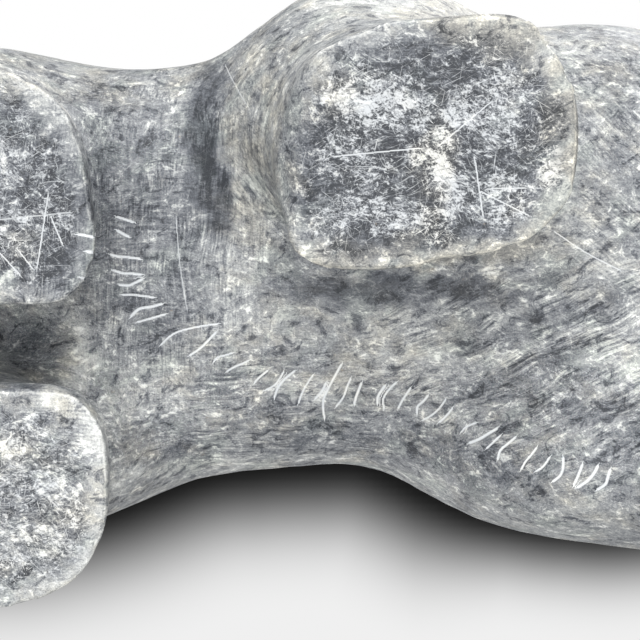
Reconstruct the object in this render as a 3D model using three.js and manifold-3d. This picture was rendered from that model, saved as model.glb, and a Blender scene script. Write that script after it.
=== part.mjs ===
// A walking bear carved whole from one block of grey soapstone.
// X runs towards the nose, Y to the bear's left, Z up. The four flat soles stand on Z = 0.
import * as THREE from 'three';
import { mergeVertices } from 'three/addons/utils/BufferGeometryUtils.js';
import Module from 'manifold-3d';

// The one driving size: the carving from nose to rump, in millimetres.
const length = 234;

// The figure is laid out in parts of its own length: a place, a radius or a blend of 1 is 1/234 of it.
const parts = 234;
const part = length / parts;

const stone = new THREE.MeshStandardMaterial({ color: 0x8d9093, roughness: 0.72, metalness: 0 });

// How finely the skin is worked over the block, as stretches of from, to and step along each axis.
const stretchesAlong = {
  x: [[-108, 78, 6.4], [78, 144, 3.3]],
  y: [[-60, -22, 5.2], [-22, 32, 3.8], [32, 60, 5.2]],
  z: [[-9, 44, 5], [44, 116, 3.9]],
};

const v = (x, y, z) => new THREE.Vector3(x, y, z);

// Signed distance from a stretched ball, true enough near its skin.
function ball([cx, cy, cz], [rx, ry, rz], lean = 0) {
  const cos = Math.cos(THREE.MathUtils.degToRad(lean));
  const sin = Math.sin(THREE.MathUtils.degToRad(lean));
  return (x, y, z) => {
    const px = cos * (x - cx) + sin * (z - cz);
    const py = y - cy;
    const pz = cos * (z - cz) - sin * (x - cx);
    const near = Math.hypot(px / rx, py / ry, pz / rz);
    const slope = Math.hypot(px / rx ** 2, py / ry ** 2, pz / rz ** 2);
    return near < 1e-6 ? -Math.min(rx, ry, rz) : (near * (near - 1)) / slope;
  };
}

// Signed distance from a round bar that tapers from one radius to another.
function bar(start, end, startRadius, endRadius) {
  const a = v(...start);
  const axis = v(...end).sub(a);
  const reach = axis.lengthSq();
  const q = v(0, 0, 0);
  return (x, y, z) => {
    q.set(x, y, z).sub(a);
    const t = THREE.MathUtils.clamp(q.dot(axis) / reach, 0, 1);
    return q.addScaledVector(axis, -t).length() - THREE.MathUtils.lerp(startRadius, endRadius, t);
  };
}

// Two forms flow into each other over a blend: join adds the second, carve takes it away.
function join(a, b, blend) {
  const overlap = Math.max(blend - Math.abs(a - b), 0) / blend;
  return Math.min(a, b) - (overlap * overlap * blend) / 4;
}

function carve(a, b, blend) {
  return -join(-a, b, blend);
}

// Several forms joined one after the other, each with its own blend.
function joined(forms) {
  return (x, y, z) => forms.reduce((skin, [form, blend]) => join(skin, form(x, y, z), blend), Infinity);
}

// A sole's rim is a smooth closed curve through a few places, in the plane of the soles.
const rimPoints = 48;

function fromRim(places) {
  const curve = new THREE.CatmullRomCurve3(places.map(([x, y]) => v(x, y, 0)), true, 'catmullrom', 0.5);
  const rim = curve.getPoints(rimPoints).slice(0, -1);
  return (x, y) => {
    let nearest = Infinity;
    let inside = false;
    rim.forEach((b, i) => {
      const a = rim[(i + rim.length - 1) % rim.length];
      const ex = b.x - a.x;
      const ey = b.y - a.y;
      const t = THREE.MathUtils.clamp(((x - a.x) * ex + (y - a.y) * ey) / (ex * ex + ey * ey), 0, 1);
      nearest = Math.min(nearest, Math.hypot(x - a.x - t * ex, y - a.y - t * ey));
      if (a.y > y !== b.y > y && x < a.x + ((y - a.y) / ey) * ex) inside = !inside;
    });
    return inside ? -nearest : nearest;
  };
}

// A foot rises from its rim to the instep and draws in with height. It is left long below, to be sawn off flat.
const footDraft = 0.16;
const instepBlend = 9;
const leftLong = 6;

function foot(rim, instep) {
  const plan = fromRim(rim);
  return (x, y, z) => {
    const beyondEnds = Math.max(z - instep, -leftLong - z);
    return carve(plan(x, y) + footDraft * Math.max(z, 0), -beyondEnds, instepBlend);
  };
}

// Rims of the soles. The front feet are mirror images, the left one a stride ahead and set in a little.
const stride = 57;
const leftSetIn = 3.6;
const rightFrontRim = [
  [-8, -16], [-3, -11], [6, -9.7], [17, -11], [25, -13], [31.5, -16], [34.6, -22], [35.3, -31],
  [33, -38.5], [27, -45.6], [17, -45.6], [6, -44], [-3, -40], [-8, -30],
];
const leftFrontRim = rightFrontRim.map(([x, y]) => [x + stride, -y - leftSetIn]);
const rightHindRim = [
  [-31.2, -9], [-31, -20], [-32.6, -30], [-38, -36.3], [-46, -39], [-58, -38.6], [-68, -34], [-72, -24],
  [-71, -12], [-64, -6.3], [-50, -5.4], [-36, -5.4],
];
const leftHindRim = [
  [-32.5, 6.5], [-30.2, 13], [-29.7, 20], [-31, 29], [-36, 35.8], [-45, 38.4], [-58, 38], [-68, 33],
  [-72, 24], [-71, 12], [-64, 6.5], [-50, 5.4], [-38, 5.2],
];

// The trunk, from the rump over a narrower waist to a deep chest and the hump of the shoulders.
const bellyHeight = 25;
const bellyBlend = 9;
const barrel = joined([
  [ball([-60, -0.5, 58], [37, 37, 39]), 1],
  [ball([-14, -3, 60], [50, 33.4, 34]), 20],
  [ball([-16, -4, 44], [48, 33, 20]), 8],
  [ball([44, -4, 58], [41, 40.5, 39]), 22],
  [ball([36, -1, 82], [32, 25, 23], 8), 18],
  [ball([-95.5, -1, 62], [5, 6.5, 10], -12), 6],
]);
const trunk = (x, y, z) => carve(barrel(x, y, z), z - bellyHeight, bellyBlend);

// Thighs, shoulders and legs, each pair with its own pose.
const limbs = joined([
  [ball([-60, -19, 48], [29, 16, 36], 12), 1],
  [ball([-54, 22, 48], [32, 17.5, 36], 10), 1],
  [ball([9, -30, 48], [23, 19, 37], -14), 1],
  [ball([42, 23.5, 50], [30, 17, 37], 4), 1],
  [bar([-56, -22, 18], [-59, -21, 44], 15.5, 19), 10],
  [bar([-56, 22, 18], [-59, 21, 44], 15.5, 19), 10],
  [bar([10, -27, 18], [8, -28, 42], 16, 21), 10],
  [bar([66, 23, 18], [57, 22, 42], 15, 18), 10],
]);
const instepHeight = 15;
const feet = [rightFrontRim, leftFrontRim, rightHindRim, leftHindRim].map((rim) => foot(rim, instepHeight));

// The groove that parts the hind legs under the rump.
const hindGroove = bar([-45, 0, 25], [-112, 0, 41], 6.6, 9);

// The head has a frame of its own at the end of the neck, turned to the left and nodding a little.
const neck = bar([52, 0, 76], [90, 1, 70], 31, 22);
const nape = v(90, 2, 69);
const headTurn = 8;
const headNod = 15;
const headPose = new THREE.Matrix4().makeRotationFromEuler(new THREE.Euler(
  0, THREE.MathUtils.degToRad(headNod), THREE.MathUtils.degToRad(headTurn), 'ZYX')).setPosition(nape);
const toHead = headPose.clone().invert();
const inHead = v(0, 0, 0);
const earPlace = [1, 14.5, 18.5];
const onBothSides = ([x, y, z]) => [[x, y, z], [x, -y, z]];
const skull = joined([
  [ball([4, 0, 1], [23, 20, 20]), 1],
  [ball([3, 0, -7], [19, 20.5, 13]), 8],
  [ball([17, 0, 6], [10, 12, 8]), 8],
  [bar([17, 0, -4], [34, 0, -5.5], 13.5, 10), 9],
  [bar([11, 0, -12], [31, 0, -13], 10, 7), 5],
  [ball([41, 0, -2.6], [4, 5.8, 4.6]), 6],
  ...onBothSides(earPlace).map((place) => [ball(place, [4.2, 6.6, 7.4]), 3.5]),
]);
const earHollows = onBothSides([earPlace[0] + 4.4, earPlace[1] + 0.6, earPlace[2] + 1.4])
  .map((place) => ball(place, [3.6, 3.8, 4.4]));

function head(x, y, z) {
  inHead.set(x, y, z).applyMatrix4(toHead);
  const whole = skull(inHead.x, inHead.y, inHead.z);
  return earHollows.reduce((skin, hollow) => carve(skin, hollow(inHead.x, inHead.y, inHead.z), 1.5), whole);
}

// Signed distance from the whole bear.
const limbBlend = 9;
const footBlend = 7;
const neckBlend = 20;
const headBlend = 8;
const grooveBlend = 6;

function bear(x, y, z) {
  let skin = join(trunk(x, y, z), limbs(x, y, z), limbBlend);
  feet.forEach((form) => {
    skin = join(skin, form(x, y, z), footBlend);
  });
  skin = join(skin, neck(x, y, z), neckBlend);
  skin = join(skin, head(x, y, z), headBlend);
  return carve(skin, hindGroove(x, y, z), grooveBlend);
}

function linesAlong(stretches) {
  const lines = [stretches[0][0]];
  stretches.forEach(([from, to, step]) => {
    const count = Math.round((to - from) / step);
    for (let i = 1; i <= count; i += 1) lines.push(from + ((to - from) * i) / count);
  });
  return lines;
}

// The slope of the distance at a place.
const probe = 0.05;

function slopeAt(field, p) {
  return v(
    field(p.x + probe, p.y, p.z) - field(p.x - probe, p.y, p.z),
    field(p.x, p.y + probe, p.z) - field(p.x, p.y - probe, p.z),
    field(p.x, p.y, p.z + probe) - field(p.x, p.y, p.z - probe),
  ).divideScalar(2 * probe);
}

// Moves a place on to the skin.
const settlingSteps = 4;
const longestSettling = 1.2;

function settle(field, p) {
  for (let i = 0; i < settlingSteps; i += 1) {
    const slope = slopeAt(field, p);
    const move = slope.multiplyScalar(-field(p.x, p.y, p.z) / Math.max(slope.lengthSq(), 0.05));
    p.add(move.clampLength(0, longestSettling));
  }
  return p;
}

// One vertex in each cell of the grid that the skin passes through, and a four-sided face around each grid edge
// that it crosses.
function skinOf(field) {
  const lines = ['x', 'y', 'z'].map((axis) => linesAlong(stretchesAlong[axis]));
  const counts = lines.map((line) => line.length);
  const indexOf = (n) => (n[2] * counts[1] + n[1]) * counts[0] + n[0];
  const placeOf = (n) => v(...n.map((k, axis) => lines[axis][k]));
  const distances = new Float64Array(counts[0] * counts[1] * counts[2]);
  const eachNode = (fewer, visit) => {
    for (let k = 0; k < counts[2] - fewer; k += 1) {
      for (let j = 0; j < counts[1] - fewer; j += 1) {
        for (let i = 0; i < counts[0] - fewer; i += 1) visit([i, j, k]);
      }
    }
  };
  eachNode(0, (n) => {
    distances[indexOf(n)] = field(...placeOf(n).toArray());
  });

  const corners = [0, 1, 2, 3, 4, 5, 6, 7].map((bits) => [bits & 1, (bits >> 1) & 1, (bits >> 2) & 1]);
  const edges = corners.flatMap((a, i) => corners.slice(i + 1)
    .filter((b) => a.reduce((sum, value, axis) => sum + Math.abs(value - b[axis]), 0) === 1)
    .map((b) => [a, b]));
  const plus = (n, step) => n.map((value, axis) => value + step[axis]);
  const places = [];
  const placeInCell = new Map();
  eachNode(1, (cell) => {
    const middle = v(0, 0, 0);
    let crossings = 0;
    edges.forEach(([a, b]) => {
      const from = plus(cell, a);
      const to = plus(cell, b);
      const start = distances[indexOf(from)];
      const end = distances[indexOf(to)];
      if (start < 0 === end < 0) return;
      middle.add(placeOf(from).lerp(placeOf(to), start / (start - end)));
      crossings += 1;
    });
    if (crossings === 0) return;
    placeInCell.set(indexOf(cell), places.length);
    places.push(settle(field, middle.divideScalar(crossings)));
  });

  const triangles = [];
  eachNode(0, (n) => {
    [0, 1, 2].forEach((axis) => {
      const next = [...n];
      next[axis] += 1;
      if (next[axis] >= counts[axis]) return;
      const leaving = distances[indexOf(n)] < 0;
      if (leaving === distances[indexOf(next)] < 0) return;
      const ring = [[-1, -1], [0, -1], [0, 0], [-1, 0]].map(([along, across]) => {
        const cell = [...n];
        cell[(axis + 1) % 3] += along;
        cell[(axis + 2) % 3] += across;
        return placeInCell.get(indexOf(cell));
      });
      const [a, b, c, d] = leaving ? ring : ring.reverse();
      const short = places[a].distanceTo(places[c]) < places[b].distanceTo(places[d]);
      triangles.push(...(short ? [a, b, c, a, c, d] : [a, b, d, b, c, d]));
    });
  });
  const geometry = new THREE.BufferGeometry();
  geometry.setAttribute('position', new THREE.Float32BufferAttribute(places.flatMap((p) => p.toArray()), 3));
  geometry.setIndex(triangles);
  return geometry;
}

const wasm = await Module();
wasm.setup();

function solid(shape) {
  const plain = shape.clone();
  plain.deleteAttribute('normal');
  plain.deleteAttribute('uv');
  const merged = mergeVertices(plain, 1e-4);
  return new wasm.Manifold(new wasm.Mesh({
    numProp: 3,
    vertProperties: new Float32Array(merged.attributes.position.array),
    triVerts: new Uint32Array(merged.index.array),
  }));
}

function shapeOf(body) {
  const mesh = body.getMesh();
  const geometry = new THREE.BufferGeometry();
  geometry.setAttribute('position', new THREE.BufferAttribute(new Float32Array(mesh.vertProperties), 3));
  geometry.setIndex(new THREE.BufferAttribute(new Uint32Array(mesh.triVerts), 1));
  return geometry;
}

// A place in the head's frame, moved sideways on to the skin of the head.
function onFace([x, y, z]) {
  return settle(bear, v(x, y, z).applyMatrix4(headPose));
}

// Eyes are small beads left standing, nostrils small pits, and the mouth a groove round the muzzle.
const eyeRadius = 2.3;
const eyeSunk = 1;
const nostrilRadius = 1.3;
const mouthRadius = 0.9;
const eyes = onBothSides([22.5, 10.5, 4]).map((place) => {
  const centre = onFace(place);
  centre.addScaledVector(slopeAt(bear, centre).normalize(), -eyeSunk);
  return new THREE.SphereGeometry(eyeRadius, 10, 8).translate(centre.x, centre.y, centre.z);
});
const nostrils = onBothSides([46, 2.8, -3]).map((place) => {
  const centre = onFace(place);
  return new THREE.SphereGeometry(nostrilRadius, 8, 6).translate(centre.x, centre.y, centre.z);
});
const mouthPlaces = [[21, 14, -8.5], [27, 12, -9.4], [33, 10, -10], [39, 6.5, -10.4], [42, 0, -10.6]];
const mouthLine = new THREE.CatmullRomCurve3(
  [...mouthPlaces, ...mouthPlaces.slice(0, -1).reverse().map(([x, y, z]) => [x, -y, z])].map(onFace));
const mouthSection = new THREE.Shape().absarc(0, 0, mouthRadius, 0, 2 * Math.PI);
const mouth = new THREE.ExtrudeGeometry(mouthSection, { steps: 32, curveSegments: 6, extrudePath: mouthLine });

// Everything of the feet below the plane of the soles is sawn off.
const sawn = new THREE.BoxGeometry(2 * parts, parts, 2 * leftLong).translate(0, 0, -leftLong);

const block = eyes.reduce((whole, eye) => whole.add(solid(eye)), solid(skinOf(bear)));
const carved = [...nostrils, mouth, sawn].reduce((whole, tool) => whole.subtract(solid(tool)), block);
const form = shapeOf(carved);

// The origin is under the middle of the carving, in the plane of its soles.
form.computeBoundingBox();
const middle = form.boundingBox.getCenter(v(0, 0, 0));
form.translate(-middle.x, -middle.y, 0).scale(part, part, part);

const group = new THREE.Group();
const mesh = new THREE.Mesh(form, stone);
mesh.name = 'bear';
group.add(mesh);

export default group;
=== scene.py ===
"""A walking bear carved from one block of grey soapstone, seen from below as it lies on its left side."""

import logging
import math
import random
from dataclasses import dataclass, field
from enum import Enum
from typing import Optional, Sequence, Union

import bmesh
import bpy
import numpy as np
from mathutils import Matrix, Vector, noise
from mathutils.bvhtree import BVHTree
from mathutils.kdtree import KDTree


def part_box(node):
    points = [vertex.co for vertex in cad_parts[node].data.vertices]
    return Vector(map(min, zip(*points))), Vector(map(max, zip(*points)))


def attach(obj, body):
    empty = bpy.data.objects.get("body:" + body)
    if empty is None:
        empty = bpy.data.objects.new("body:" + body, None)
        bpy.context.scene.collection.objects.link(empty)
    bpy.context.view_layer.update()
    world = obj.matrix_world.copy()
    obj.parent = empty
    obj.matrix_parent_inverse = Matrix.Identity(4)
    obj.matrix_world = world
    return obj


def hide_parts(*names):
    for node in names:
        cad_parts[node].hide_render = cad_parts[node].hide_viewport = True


log = logging.getLogger("bear")

MM = 0.001
TINY = 1e-9
Place = tuple[float, float]
Spot = tuple[float, float, float]
Rgb = tuple[float, float, float]
Number = Union[float, "Value"]

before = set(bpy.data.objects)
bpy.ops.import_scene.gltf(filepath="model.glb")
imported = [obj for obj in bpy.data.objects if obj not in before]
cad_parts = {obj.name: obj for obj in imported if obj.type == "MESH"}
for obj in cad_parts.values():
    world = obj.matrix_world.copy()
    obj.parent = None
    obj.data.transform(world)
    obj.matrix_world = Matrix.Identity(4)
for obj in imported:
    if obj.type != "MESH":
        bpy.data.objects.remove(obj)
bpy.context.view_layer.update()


def climb(values: np.ndarray, start: float, end: float) -> np.ndarray:
    """How far values have come from start to end, from 0 to 1, where start may be the greater."""
    return np.clip((values - start) / (end - start), 0.0, 1.0)


# Shader maths.


class Value:
    """A number that varies over the stone, with the usual operators."""

    def __init__(self, bench: "Bench", socket: bpy.types.NodeSocket) -> None:
        """Keeps the socket that the number comes from."""
        self.bench = bench
        self.socket = socket

    def __add__(self, other: Number) -> "Value":
        """Sum."""
        return self.bench.math("ADD", self, other)

    def __radd__(self, other: Number) -> "Value":
        """Sum, from the right."""
        return self.bench.math("ADD", other, self)

    def __sub__(self, other: Number) -> "Value":
        """Difference."""
        return self.bench.math("SUBTRACT", self, other)

    def __rsub__(self, other: Number) -> "Value":
        """Difference, from the right."""
        return self.bench.math("SUBTRACT", other, self)

    def __mul__(self, other: Number) -> "Value":
        """Product."""
        return self.bench.math("MULTIPLY", self, other)

    def __rmul__(self, other: Number) -> "Value":
        """Product, from the right."""
        return self.bench.math("MULTIPLY", other, self)

    def __abs__(self) -> "Value":
        """Size without sign."""
        return self.bench.math("ABSOLUTE", self, 0.0)

    def most(self, other: Number) -> "Value":
        """The greater of the two."""
        return self.bench.math("MAXIMUM", self, other)

    def rise(self, low: float, high: float) -> "Value":
        """Makes a smooth step.

        Args:
            low: Where the step is 0, which may be the greater of the two.
            high: Where it is 1.

        Returns:
            The step, from 0 to 1.
        """
        made = self.bench.node(
            "ShaderNodeMapRange",
            {"interpolation_type": "SMOOTHSTEP"},
            {"Value": self, "From Min": low, "From Max": high},
        )
        return Value(self.bench, made.outputs["Result"])


class Bench:
    """The nodes of one material."""

    def __init__(self, name: str) -> None:
        """Starts an empty material.

        Args:
            name: What the material is called.
        """
        self.material = bpy.data.materials.new(name)
        self.material.use_nodes = True
        self.tree = self.material.node_tree
        self.tree.nodes.clear()
        self.place = self.node("ShaderNodeTexCoord").outputs["Object"]

    def node(
        self, kind: str, settings: Optional[dict] = None, inputs: Optional[dict] = None
    ) -> bpy.types.Node:
        """Adds a node.

        Args:
            kind: The node's type.
            settings: Its own settings, with a ramp's stops under "stops".
            inputs: A value, a Value or a socket for each input, by name or number.

        Returns:
            The new node.
        """
        made = self.tree.nodes.new(kind)
        for name, value in (settings or {}).items():
            if name == "stops":
                self.set_stops(made.color_ramp, value)
            else:
                setattr(made, name, value)
        for name, value in (inputs or {}).items():
            source = value.socket if isinstance(value, Value) else value
            socket = made.inputs[name]
            if isinstance(source, bpy.types.NodeSocket):
                self.tree.links.new(source, socket)
            elif socket.type == "RGBA" and len(source) == 3:
                socket.default_value = (*source, 1.0)
            else:
                socket.default_value = source
        return made

    @staticmethod
    def set_stops(ramp: bpy.types.ColorRamp, stops: Sequence[tuple]) -> None:
        """Gives a ramp its stops.

        Args:
            ramp: The ramp.
            stops: Pairs of place and colour, from first to last.
        """
        while len(ramp.elements) < len(stops):
            ramp.elements.new(1.0)
        for element, (place, colour) in zip(ramp.elements, stops):
            element.position = place
            element.color = (*colour, 1.0)

    def math(self, operation: str, first: Number, second: Number) -> Value:
        """Joins two numbers by one sum.

        Args:
            operation: The Math node's operation.
            first: The first number.
            second: The second number.

        Returns:
            The result.
        """
        made = self.node("ShaderNodeMath", {"operation": operation}, {0: first, 1: second})
        return Value(self, made.outputs[0])

    def mark(self, name: str) -> Value:
        """A number that the carving stores at each of its points."""
        made = self.node("ShaderNodeAttribute", {"attribute_name": name})
        return Value(self, made.outputs["Fac"])

    def grain(
        self,
        size: Spot,
        turn: float = 0.0,
        detail: float = 2.0,
        rough: float = 0.5,
        shift: float = 0.0,
        bend: float = 0.0,
    ) -> Value:
        """Mottling whose grains have a size along, across and through, in millimetres.

        Args:
            size: Length of a grain along each of its three directions.
            turn: How far the grain's length is turned about the vertical, in degrees.
            detail: How many finer layers it has.
            rough: How strong these finer layers are.
            shift: Where in the pattern it is cut, so that two layers differ.
            bend: How much its grains are bent.

        Returns:
            The mottling, about 0 on average and mostly within 0.3 of it.
        """
        mapped = self.node(
            "ShaderNodeMapping",
            {"vector_type": "TEXTURE"},
            {
                "Vector": self.place,
                "Location": (shift, shift * 0.7, -shift),
                "Rotation": (0.0, 0.0, math.radians(turn)),
                "Scale": tuple(side * MM for side in size),
            },
        )
        made = self.node(
            "ShaderNodeTexNoise",
            {"noise_dimensions": "3D"},
            {
                "Vector": mapped.outputs[0],
                "Scale": 1.0,
                "Detail": detail,
                "Roughness": rough,
                "Distortion": bend,
            },
        )
        return Value(self, made.outputs[0]) - 0.5

    def swirl(self, size: float, reach: float) -> None:
        """Bends the lines of every grain made from here on.

        Args:
            size: How far the bends are apart, in millimetres.
            reach: How far they go, in millimetres.
        """
        drift = self.node(
            "ShaderNodeTexNoise", {}, {"Vector": self.place, "Scale": 1 / (size * MM), "Detail": 1.0}
        )
        self.place = self.node(
            "ShaderNodeVectorMath",
            {"operation": "MULTIPLY_ADD"},
            {0: drift.outputs["Color"], 1: (reach * MM,) * 3, 2: self.place},
        ).outputs[0]

    def mix(self, share: Number, first: object, second: object) -> bpy.types.NodeSocket:
        """Mixes two colours.

        Args:
            share: How much of the second shows.
            first: The first colour or its socket.
            second: The second colour or its socket.

        Returns:
            The mixed colour's socket.
        """
        made = self.node("ShaderNodeMix", {"data_type": "RGBA"}, {0: share, 6: first, 7: second})
        return made.outputs[2]


# The finishes.


class Hand(Enum):
    """Which way a file or a rasp was drawn over the skin."""

    ALONG = "along"
    ACROSS = "across"
    SWEEP = "sweep"
    SLANT = "slant"


@dataclass(frozen=True)
class Filing:
    """The fine and broad lines that a file leaves, in millimetres, and how far they turn, in degrees."""

    fine: Spot
    broad: Spot
    turn: float = 0.0


FILINGS = {
    Hand.ALONG: Filing((4.5, 0.34, 0.8), (7.0, 1.3, 2.4)),
    Hand.ACROSS: Filing((4.5, 0.32, 0.8), (9.0, 1.2, 2.4), 92.0),
    Hand.SWEEP: Filing((7.0, 0.5, 1.2), (16.0, 2.4, 3.4), -26.0),
    Hand.SLANT: Filing((4.5, 0.4, 0.8), (8.0, 1.4, 2.6), 42.0),
}

# The ways in which short scratches run, in degrees, and how long they are each way.
NICK_WAYS = ((4, 1.0), (38, 0.7), (71, 0.85), (102, 0.9), (148, 0.75), (-24, 1.1))


@dataclass(frozen=True)
class Soapstone:
    """Grey soapstone, filed, rubbed smooth and scratched white.

    The tones run from deep, through dark, body and pale, to chalk, the powdery white of a fresh scratch,
    which is frost where the stone is cool. Sizes are in millimetres.
    """

    deep: Rgb = (0.027, 0.030, 0.036)
    dark: Rgb = (0.100, 0.106, 0.119)
    body: Rgb = (0.240, 0.246, 0.251)
    pale: Rgb = (0.480, 0.480, 0.460)
    chalk: Rgb = (0.770, 0.765, 0.725)
    frost: Rgb = (0.610, 0.632, 0.648)
    cool: Rgb = (0.982, 1.00, 1.018)
    warm: Rgb = (1.05, 1.015, 0.93)
    green: Rgb = (0.975, 1.02, 0.995)
    rust: Rgb = (0.210, 0.165, 0.115)
    roughness: float = 0.52
    shine: float = 0.32
    relief_strength: float = 0.55
    relief_height: float = 0.12
    swirl_size: float = 11.0
    swirl_reach: float = 2.8

    def build(self) -> bpy.types.Material:
        """Makes the material.

        Returns:
            The soapstone.
        """
        bench = Bench("soapstone")
        bench.swirl(self.swirl_size, self.swirl_reach)
        tone, chalk, relief = self.surface(bench)
        rub = bench.grain((0.7, 0.7, 0.7), 0.0, 1.0, 0.5, 0.5)
        bump = bench.node(
            "ShaderNodeBump",
            {},
            {"Strength": self.relief_strength, "Distance": self.relief_height * MM, "Height": relief},
        )
        shader = bench.node(
            "ShaderNodeBsdfPrincipled",
            {},
            {
                "Base Color": self.colour(bench, tone, chalk),
                "Roughness": self.roughness + rub * 0.35 + chalk * 0.25,
                "Normal": bump.outputs[0],
                "Specular IOR Level": self.shine,
            },
        )
        bench.node("ShaderNodeOutputMaterial", {}, {"Surface": shader.outputs[0]})
        return bench.material

    def colour(self, bench: Bench, tone: Value, chalk: Value) -> bpy.types.NodeSocket:
        """Turns tone and chalk into a colour, with warm, greenish and rusty places.

        Args:
            bench: The material's nodes.
            tone: How light the stone is, from 0 to 1.
            chalk: The share of chalk.

        Returns:
            The colour's socket.
        """
        tones = (self.deep, self.dark, self.body, self.pale, self.chalk)
        stops = [(index / (len(tones) - 1), colour) for index, colour in enumerate(tones)]
        stone = bench.node("ShaderNodeValToRGB", {"stops": stops}, {0: tone}).outputs[0]
        warmth = bench.grain((6.5, 5.0, 5.5), 20.0, 4.0, 0.65, 0.31) + bench.mark("warmth")
        warm = warmth.rise(-0.08, 0.28)
        greenish = bench.grain((8.0, 6.0, 6.5), -35.0, 3.0, 0.6, 0.87).rise(0.0, 0.15)
        rusty = bench.grain((1.5, 1.3, 1.4), 0.0, 3.0, 0.6, 0.77).rise(0.2, 0.3)
        tint = bench.mix(greenish * 0.8, bench.mix(warm, self.cool, self.warm), self.green)
        tinted = bench.node("ShaderNodeVectorMath", {"operation": "MULTIPLY"}, {0: stone, 1: tint})
        stone = bench.mix(rusty * 0.6, tinted.outputs[0], self.rust)
        return bench.mix(chalk, stone, bench.mix(warm, self.frost, self.chalk))

    def surface(self, bench: Bench) -> tuple[Value, Value, Value]:
        """Works out how light, how scratched and how high the stone is at each point.

        Args:
            bench: The material's nodes.

        Returns:
            The tone from 0 to 1, the share of chalk, and the height of the fine relief.
        """
        rim = bench.mark("rim")
        keen = bench.mark("keen")
        scuff = bench.mark("scuff")
        lively = 1.0 - bench.mark("quiet") * 0.55
        cloud = bench.grain((9.0, 8.0, 8.0), 15.0, 3.0, 0.55)
        blotch = bench.grain((3.2, 2.3, 2.6), -20.0, 5.0, 0.7, 0.11, 0.8)
        flake = bench.grain((1.5, 1.0, 1.2), 25.0, 4.0, 0.72, 0.19, 0.9)
        speck = bench.grain((0.26, 0.22, 0.24), 0.0, 2.0, 0.6, 0.23)
        rubbed = bench.grain((6.0, 5.0, 5.5), 0.0, 4.0, 0.65, 0.57)
        fibre, band = self.filed(bench)

        # The soles, the fine line and the broad band along their edges, which are painted highlights, and
        # the pale film on them.
        sole = (rim + rubbed * 8.0 + flake * 3.0 - (1.0 - keen) * 2.6).rise(1.5, 4.6)
        line = rim.rise(-0.5, 0.0) * rim.rise(0.6, 0.15) * keen
        rim_band_highlight = rim.rise(-1.2, 0.1) * (rim + rubbed * 5.0 + flake * 3.0).rise(3.2, 0.3) * keen
        film = (rubbed * 1.4 + flake * 0.9 + scuff * 1.1).rise(0.05, 0.5) * sole

        # Short scratches everywhere, and more where the soles are worn.
        worn = (rubbed * 1.6 + flake * 1.2 + scuff * 1.2).rise(-0.28, 0.2)
        short = self.nicks(bench, 2.4, 0.15, 0.02) * worn
        nicks = short.most(self.nicks(bench, 5.0, 0.15, 0.0) * 0.7)

        dark = blotch.rise(-0.03, -0.15)
        light = (blotch + flake * 0.5).rise(0.05, 0.2)
        tone = (
            0.5
            # The stored tones, with their painted shadow and painted glare.
            + bench.mark("tone_and_painted_light") * 0.55
            + cloud * 0.6
            + ((light - dark) * 0.36 + flake * 0.55 + speck * 0.6) * lively
            # Darker in the head's cuts and eyes: dark eyes, dirt in the cuts and a painted shadow in the
            # ear hollows.
            - bench.mark("dark_eyes_dirt_and_painted_shade") * 0.42
            + fibre * 0.62
            # Painted highlights along the sole rims.
            + band * 0.62
            + rim_band_highlight * 0.14
            + line * 0.13
            + film * 0.13
            + nicks * sole * 0.08
            + sole * (flake * 0.5 + blotch * 0.8 + fibre * 0.5 - 0.27)
        )

        # White powder in crumbs, broken by crossed lines, and the white of the cut strokes.
        crumbs = bench.grain((1.2, 0.85, 1.0), 12.0, 3.0, 0.58, 0.41, 1.2)
        powder = (crumbs * 1.5 + flake * 0.9 + rubbed * 0.8 + speck * 0.8 + scuff * 0.5).rise(0.1, 0.44)
        crossed = bench.grain((2.4, 0.24, 1.0), -14.0, 3.0, 0.6, 0.47, 0.6)
        broken = crossed.most(bench.grain((2.0, 0.22, 1.0), 62.0, 3.0, 0.6, 0.53, 0.6)).rise(0.02, 0.2)
        stroke = abs(bench.mark("stroke_side")).rise(0.62, 0.3) * bench.mark("stroke_near").rise(0.05, 0.3)
        chalk = (
            (nicks * (sole * 0.7 + 0.14))
            .most(powder * (1.0 - broken * 0.6) * (sole * 0.48 + 0.29) * lively)
            .most(stroke * bench.mark("stroke_white"))
        )
        return tone, chalk, fibre * 1.2 + speck * 0.8 + flake * 0.8

    @staticmethod
    def filed(bench: Bench) -> tuple[Value, Value]:
        """The lines that the files left, each way as strong as the carving says.

        Args:
            bench: The material's nodes.

        Returns:
            The fine lines, which come and go in patches, and the broad ones.
        """
        fibre: Number = 0.0
        band: Number = 0.0
        for hand, lines in FILINGS.items():
            drawn = bench.mark(hand.value)
            shift = lines.turn * 0.001
            kept = bench.grain((5.0, 3.6, 4.2), 0.0, 1.0, 0.5, shift * 1.3 + 0.21).rise(-0.1, 0.12)
            fine = bench.grain(lines.fine, lines.turn, 3.0, 0.64, lines.fine[0] * 0.01 + shift, 0.6)
            broad = bench.grain(lines.broad, lines.turn, 4.0, 0.68, lines.broad[0] * 0.01 - shift, 0.5)
            fibre = fine * drawn * (kept * 1.5 + 0.15) + fibre
            band = broad * drawn + band
        return fibre, band

    @staticmethod
    def nicks(bench: Bench, length: float, width: float, shift: float) -> Value:
        """Short scratches that cross each other in many directions.

        Args:
            bench: The material's nodes.
            length: About how long a scratch is, in millimetres.
            width: About how wide it is, in millimetres.
            shift: Where in the pattern they are cut.

        Returns:
            1 in a scratch and 0 beside it.
        """
        found: Number = 0.0
        for count, (turn, share) in enumerate(NICK_WAYS, start=1):
            line = bench.grain((length * share, width, 1.5), turn, 2.0, 0.5, 0.13 * count + shift)
            found = line.rise(0.15, 0.27).most(found)
        return found


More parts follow.
